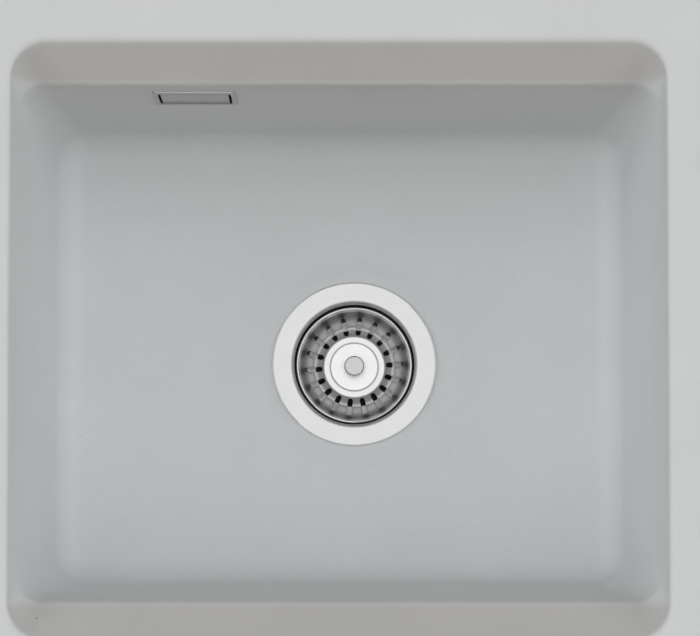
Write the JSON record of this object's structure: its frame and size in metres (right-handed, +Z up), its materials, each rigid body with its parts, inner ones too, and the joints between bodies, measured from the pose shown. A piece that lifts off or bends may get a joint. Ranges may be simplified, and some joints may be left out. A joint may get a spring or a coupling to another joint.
{
  "type": "undermount kitchen sink",
  "caption": "Undermount kitchen sink: light-grey composite bowl with sloped shoulders, basket strainer waste, wall overflow with hose, and fixing clips.",
  "frame": {"origin": "centre of the bowl's opening, in the plane of the flange's top, which bears on the worktop's underside", "axes": "+X right and +Y back, seen from above with the overflow in the back wall; +Z up, out of the bowl"},
  "size_m": [0.519, 0.4854, 0.3413],
  "materials": {
    "composite": "matt stone-filled resin, light grey, fine grain",
    "satin_steel": "satin stainless steel",
    "basket_steel": "drawn stainless sheet, half bright",
    "bright_steel": "turned stainless steel",
    "zinc_steel": "zinc-plated steel",
    "brass": "turned brass",
    "white_plastic": "moulded polypropylene, white",
    "hose_plastic": "corrugated polypropylene, grey",
    "black_rubber": "moulded rubber, black",
    "sealing_rubber": "cut sealing rubber"
  },
  "bodies": {
    "root": {"bowl": "composite", "strainer_cup": "satin_steel", "cup_gasket_upper": "sealing_rubber", "cup_gasket_lower": "sealing_rubber", "waste_body": "white_plastic", "hub_insert": "brass", "centre_screw": "bright_steel", "overflow_bezel": "satin_steel", "overflow_screw": "bright_steel", "overflow_gasket": "sealing_rubber", "overflow_housing": "white_plastic", "overflow_hose": "hose_plastic", "hose_seal_upper": "sealing_rubber", "hose_seal_lower": "sealing_rubber", "hose_nut_upper": "white_plastic", "hose_nut_lower": "white_plastic", "sink_clips": "zinc_steel", "clip_washers": "zinc_steel", "clip_screws": "zinc_steel", "clip_inserts": "brass"},
    "basket": {"basket_pan": "basket_steel", "basket_disc": "satin_steel", "stem_guide": "bright_steel"},
    "plug": {"knob": "satin_steel", "plug_stem": "bright_steel", "stem_o_ring": "black_rubber", "seal_plate": "bright_steel", "plug_seal": "black_rubber", "stem_nut": "bright_steel"},
    "cover": {"overflow_cover": "satin_steel", "cover_springs": "bright_steel"}
  },
  "joints": [
    {"name": "basket_lift", "type": "slide", "parent": "root", "child": "basket", "axis": [0, 0, 1], "range_m": [0, 0.3]},
    {"name": "plug_lift", "type": "slide", "parent": "basket", "child": "plug", "axis": [0, 0, 1], "range_m": [0, 0.008]},
    {"name": "cover_pull", "type": "slide", "parent": "root", "child": "cover", "axis": [0, -0.999, 0.0447], "range_m": [0, 0.03]}
  ]
}
